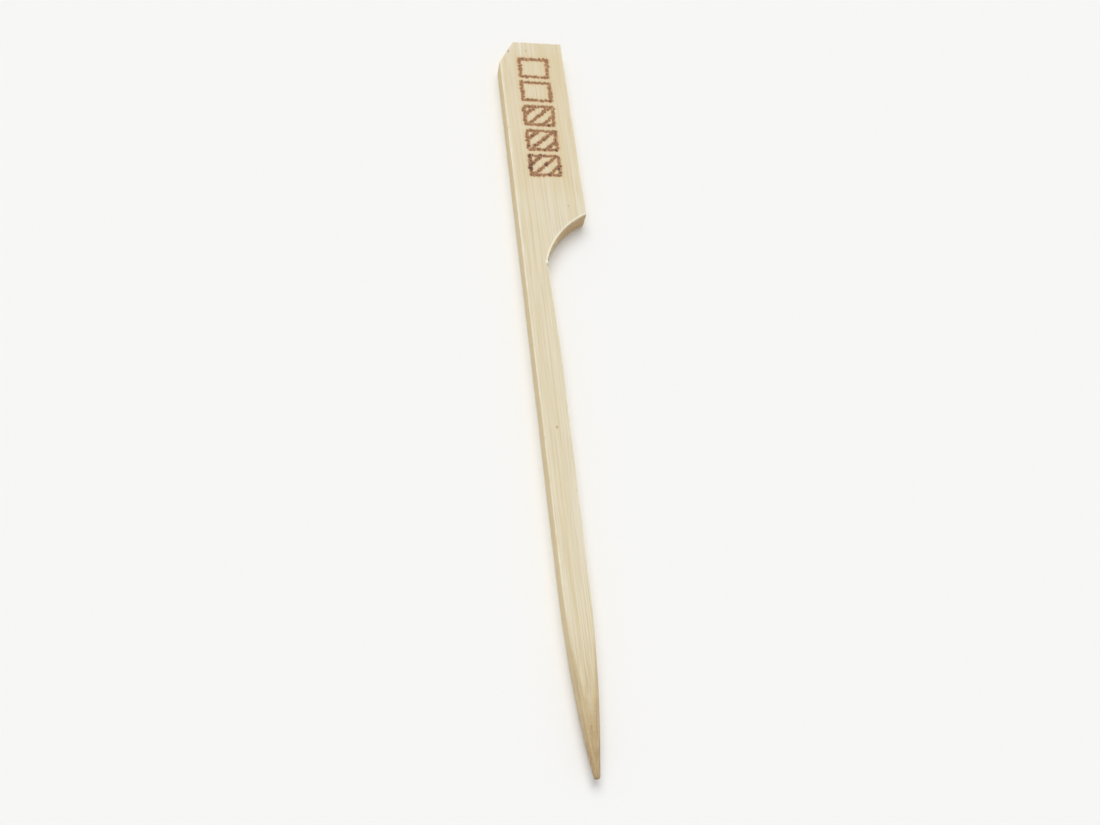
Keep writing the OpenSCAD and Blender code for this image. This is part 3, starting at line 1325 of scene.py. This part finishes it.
@dataclass
class FrayedCut:
    """Short fibres that stand out of the notch's two arrises, where the cutter left them."""

    spacing: float = 0.5
    length: float = 0.5
    radius: float = 0.018
    inset: float = 0.1
    sunk: float = 0.03
    heights: tuple[float, float] = (2.86, 0.16)
    lowest_turn: Triple = (0.0, -3.1, -0.45)
    highest_turn: Triple = (0.3, 3.1, 0.6)
    # The fibres take this share of the pale arris tint: partly a pale fibre colour, partly a painted highlight.
    rub_and_highlight: float = 0.8
    seed: int = 3

    def _paths(self, plan: SlatPlan) -> list[Stroke]:
        """Lines just inside the notch's two arrises, that the fibres stand on.

        Args:
            plan: the slat's outline.

        Returns:
            The lines, in millimetres.
        """
        y = np.linspace(plan.y_neck + 0.4, plan.y_shoulder - 0.3, 24)
        inset = np.full_like(y, self.inset)
        x = plan.right(y, inset, inset) - self.sunk
        return [(np.stack([x, y, np.full_like(y, z)], 1), False) for z in self.heights]

    def _tree(self) -> Tree:
        """Stands tapered fibres along lines, and joins them to a mesh.

        Returns:
            The geometry tree.
        """
        bench, given, out = GeometryBench.begin("frayed_fibres", ("Spacing", "Length", "Radius"))
        roots = bench.points_along(given["Strokes"], given["Spacing"])
        tip = bench.combined(0.0, bench.times(given["Length"], -1.0))
        line = bench.add("GeometryNodeCurvePrimitiveLine", {"Start": (0.0, 0.0, 0.0), "End": tip}).outputs[0]
        line = bench.add("GeometryNodeResampleCurve", {"Curve": line, "Count": 5}).outputs[0]
        along = bench.add("GeometryNodeSplineParameter").outputs["Factor"]
        curl = bench.times(bench.times(along, along), bench.times(given["Length"], 0.2))
        thin = {"Curve": bench.moved(line, bench.combined(curl)), "Radius": bench.spread(along, 0.0, 1.0, 1.0, 0.25)}
        ring = {"Resolution": 5, "Radius": given["Radius"]}
        sweep = {
            "Curve": bench.add("GeometryNodeSetCurveRadius", thin).outputs[0],
            "Profile Curve": bench.add("GeometryNodeCurvePrimitiveCircle", ring, mode="RADIUS").outputs[0],
            "Fill Caps": True,
        }
        stand = {
            "Points": roots,
            "Instance": bench.add("GeometryNodeCurveToMesh", sweep).outputs[0],
            "Rotation": bench.draw(self.lowest_turn, self.highest_turn, given["Seed"]),
            "Scale": bench.draw(0.35, 1.25, bench.plus(given["Seed"], 1.0)),
        }
        stood = bench.realized(bench.add("GeometryNodeInstanceOnPoints", stand).outputs[0])
        joined = bench.add("GeometryNodeJoinGeometry")
        for part in (given["Slat"], bench.stored(stood, "arris", self.rub_and_highlight)):
            bench.tree.links.new(part, joined.inputs[0])
        return bench.end(joined.outputs[0], given["Finish"], out)

    def fray(self, slat: Object, plan: SlatPlan, finish: Material) -> None:
        """Adds the fibres to the slat.

        Args:
            slat: the slat's object.
            plan: its outline.
            finish: its material.
        """
        lengths = {"Spacing": self.spacing, "Length": self.length, "Radius": self.radius}
        run_tree(slat, self._tree(), self._paths(plan), {**lengths, "Seed": self.seed, "Finish": finish})


@dataclass
class Marker:
    """The finished marker: slat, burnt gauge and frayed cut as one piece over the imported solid."""

    slat: Slat = field(default_factory=Slat)
    wood: SawnBamboo = field(default_factory=SawnBamboo)
    gauge: BurntGauge = field(default_factory=BurntGauge)
    frayed: FrayedCut = field(default_factory=FrayedCut)

    def build(self) -> Object:
        """Makes the piece and hands it to the frame.

        Returns:
            The piece.
        """
        finish = self.wood.material()
        piece = self.slat.build()
        LOG.info("slat: %d faces", len(piece.data.polygons))
        self.gauge.burn_into(piece, finish, self.wood)
        LOG.info("gauge: %d strokes", len(self.gauge.strokes()))
        self.frayed.fray(piece, self.slat.plan, finish)
        LOG.info("with its frayed cut: %d faces", len(piece.data.polygons))
        piece.name = piece.data.name = "bamboo_slat"
        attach(piece, "root")
        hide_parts("marker")
        return piece


@dataclass
class Studio:
    """A plain pale floor under soft, even light, and the camera where the photograph's was."""

    floor_half: float = 1.5
    floor: Tint = Tint(248, 248, 247)
    sky: float = 0.5
    sun: float = 1.75
    sun_angle: float = 50.0
    sun_from: Triple = (-0.06, 0.54, 1.0)
    camera_at: Triple = (-0.0413, -0.1069, 0.1591)
    camera_right: Triple = (0.991, -0.069, 0.114)
    camera_up: Triple = (-0.003, 0.845, 0.535)
    aim: Triple = (-0.00404, -0.01029, 0.003)
    lens: float = 45.5
    sensor_w: float = 36.0

    def lay_floor(self) -> None:
        """Makes the floor at the height that the marker lies on."""
        mesh = bpy.data.meshes.new("floor")
        h = self.floor_half
        mesh.from_pydata([(-h, -h, 0), (h, -h, 0), (h, h, 0), (-h, h, 0)], [], [(0, 1, 2, 3)])
        made = bpy.data.materials.new("pale_floor")
        made.use_nodes = True
        shader = made.node_tree.nodes["Principled BSDF"]
        shader.inputs["Base Color"].default_value = self.floor.linear()
        shader.inputs["Roughness"].default_value = 0.9
        shader.inputs["Specular IOR Level"].default_value = 0.1
        mesh.materials.append(made)
        placed("floor", mesh)

    def light(self) -> None:
        """Sets an even sky, shown white to the camera, and one broad soft sun."""
        world = bpy.data.worlds.new("studio")
        bpy.context.scene.world = world
        world.use_nodes = True
        world.node_tree.nodes.clear()
        bench = NodeBench(world.node_tree)
        path = bench.add("ShaderNodeLightPath").outputs
        seen = bench.math("MAXIMUM", path["Is Camera Ray"], path["Is Transmission Ray"])
        seen = bench.math("MAXIMUM", seen, path["Is Glossy Ray"])
        white = (1.0, 1.0, 1.0, 1.0)
        sky, seen_sky = (
            bench.add("ShaderNodeBackground", {"Color": white, "Strength": s}).outputs[0] for s in (self.sky, 1.0)
        )
        mix = bench.add("ShaderNodeMixShader", {0: seen, 1: sky, 2: seen_sky})
        bench.add("ShaderNodeOutputWorld", {"Surface": mix.outputs[0]})
        lamp = bpy.data.lights.new("soft_sun", "SUN")
        lamp.energy = self.sun
        lamp.angle = math.radians(self.sun_angle)
        sun = placed("soft_sun", lamp)
        sun.rotation_mode = "QUATERNION"
        sun.rotation_quaternion = Vector(self.sun_from).to_track_quat("Z", "Y")

    def place_camera(self) -> None:
        """Stands the camera where the photograph was taken from, turned to bring the marker to the middle."""
        data = bpy.data.cameras.new("camera")
        data.lens = self.lens
        data.sensor_width = self.sensor_w
        data.clip_start, data.clip_end = 0.01, 10.0
        camera = placed("camera", data)
        right, up = Vector(self.camera_right).normalized(), Vector(self.camera_up).normalized()
        back = right.cross(up).normalized()
        up = back.cross(right).normalized()
        turned = Matrix((right, up, back)).transposed().to_quaternion()
        sight = (Vector(self.aim) - Vector(self.camera_at)).normalized()
        camera.location = self.camera_at
        camera.rotation_mode = "QUATERNION"
        camera.rotation_quaternion = (-back).rotation_difference(sight) @ turned
        bpy.context.scene.camera = camera

    def build(self) -> None:
        """Makes the floor, the light and the camera."""
        self.lay_floor()
        self.light()
        self.place_camera()
        bpy.context.scene.view_settings.view_transform = "Standard"


def main() -> None:
    """Builds the marker and the studio."""
    logging.basicConfig(level=logging.INFO, format="%(name)s: %(message)s")
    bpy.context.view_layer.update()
    piece = Marker().build()
    LOG.info("marker built as %s", piece.name)
    Studio().build()
    LOG.info("studio built")


if __name__ == "__main__":
    main()
